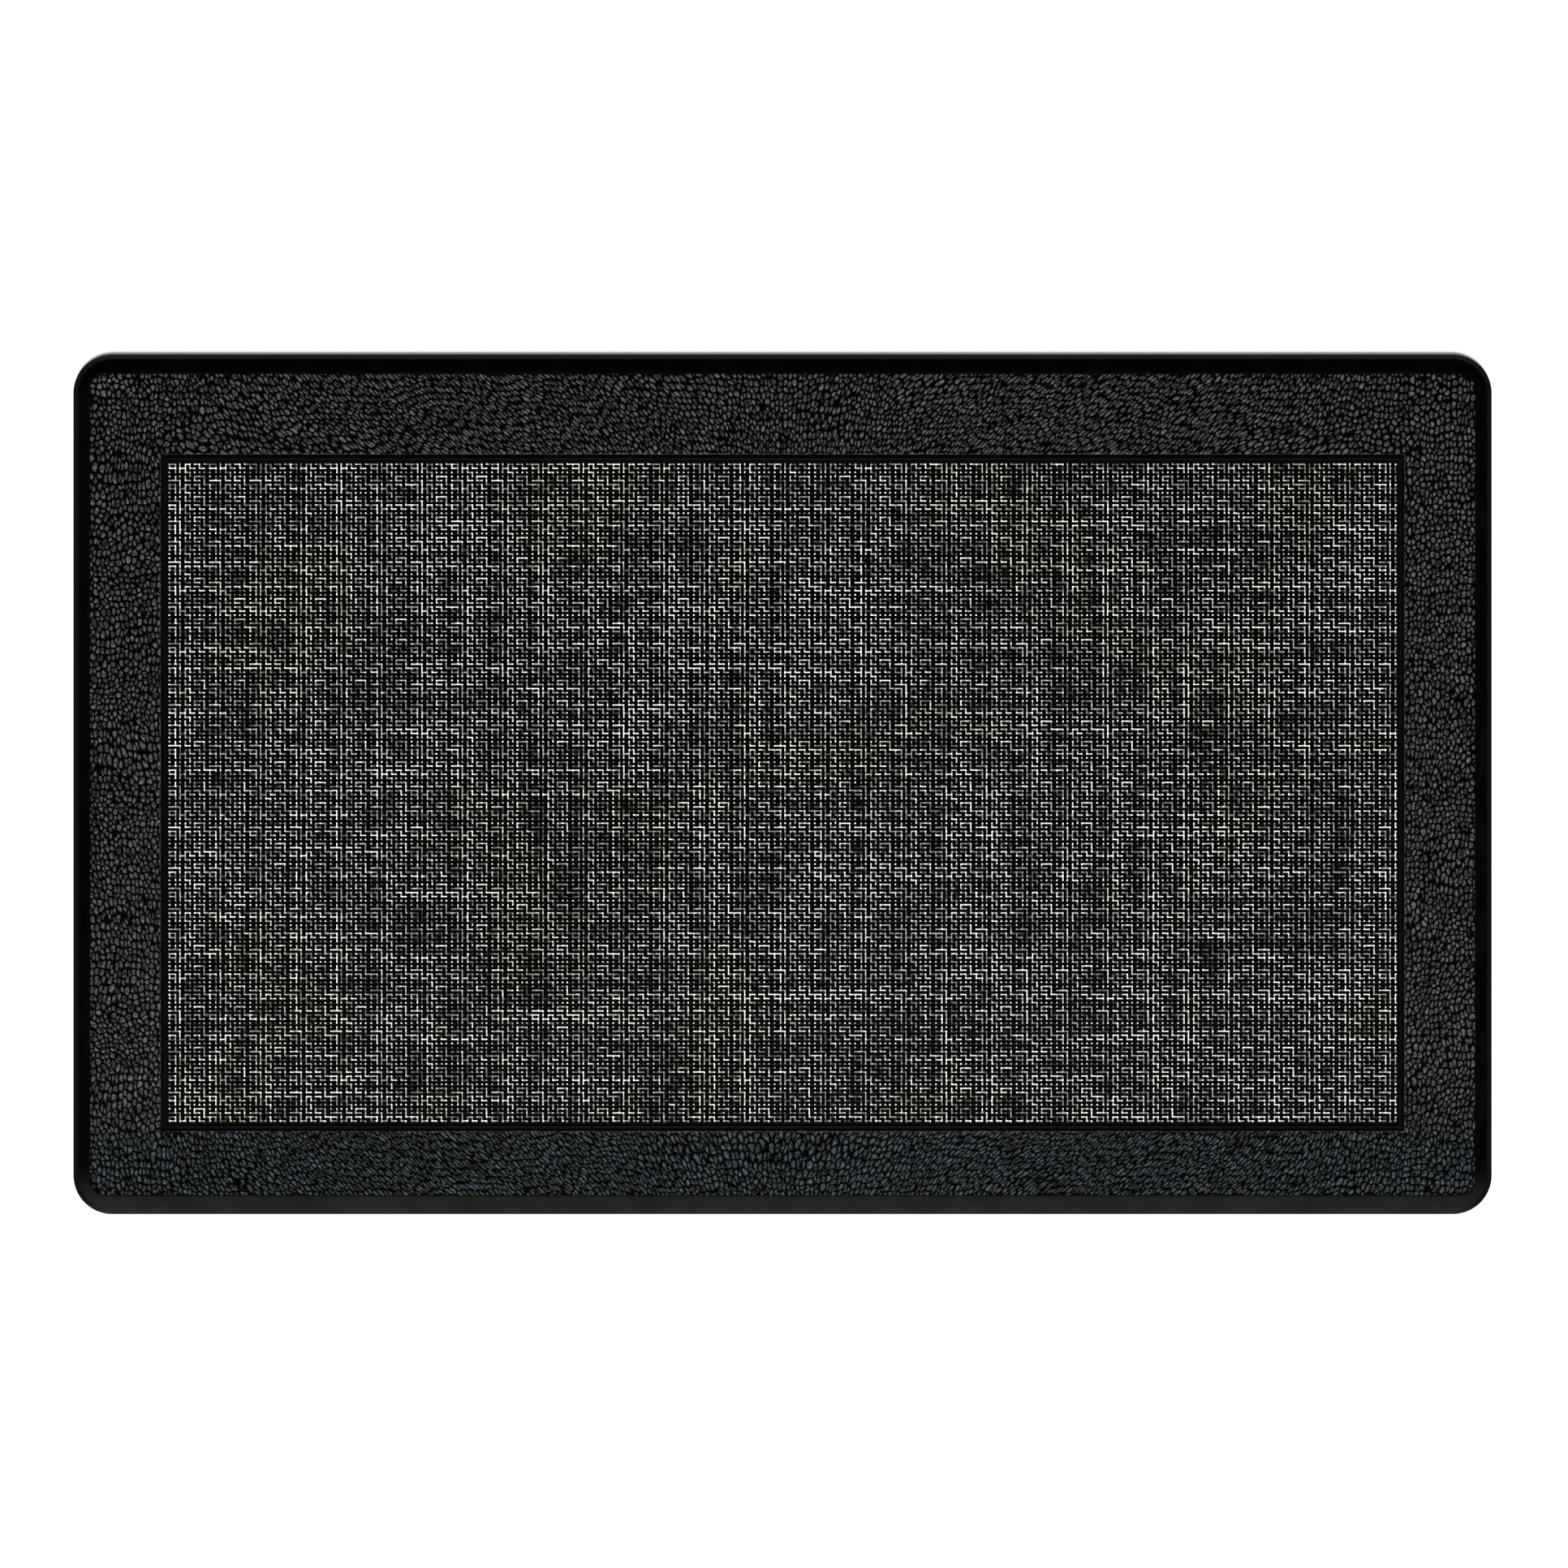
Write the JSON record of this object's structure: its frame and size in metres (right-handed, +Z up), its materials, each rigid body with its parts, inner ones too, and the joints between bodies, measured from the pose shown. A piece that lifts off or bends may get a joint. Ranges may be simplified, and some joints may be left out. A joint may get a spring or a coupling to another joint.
{
  "type": "anti fatigue mat",
  "caption": "Rectangular cushioned floor mat with rounded corners, a leather-grain border with a bevelled edge, and a let-in panel of woven vinyl, for standing on.",
  "frame": {"origin": "on the floor plane, under the middle of the mat's outline", "axes": "+X along the mat's long side, +Y across it towards the wider of the two long borders, +Z up"},
  "size_m": [0.762, 0.462, 0.012],
  "materials": {
    "grip_vinyl": "matt black non-slip vinyl with a raised grip pattern underneath",
    "cushion_foam": "dark closed-cell foam, matt",
    "grain_vinyl": "black leather-grain vinyl, semi-matt, smooth on the bevel and lip",
    "bond_film": "black hot-melt film, matt",
    "bead_vinyl": "black vinyl bead, satin",
    "woven_vinyl": "woven vinyl-coated yarn in black, grey and off-white, semi-matt"
  },
  "bodies": {
    "root": {"base_sheet": "grip_vinyl", "foam_core": "cushion_foam", "cover_skin": "grain_vinyl", "inlay_film": "bond_film", "edge_bead": "bead_vinyl", "woven_inlay": "woven_vinyl"}
  },
  "joints": []
}
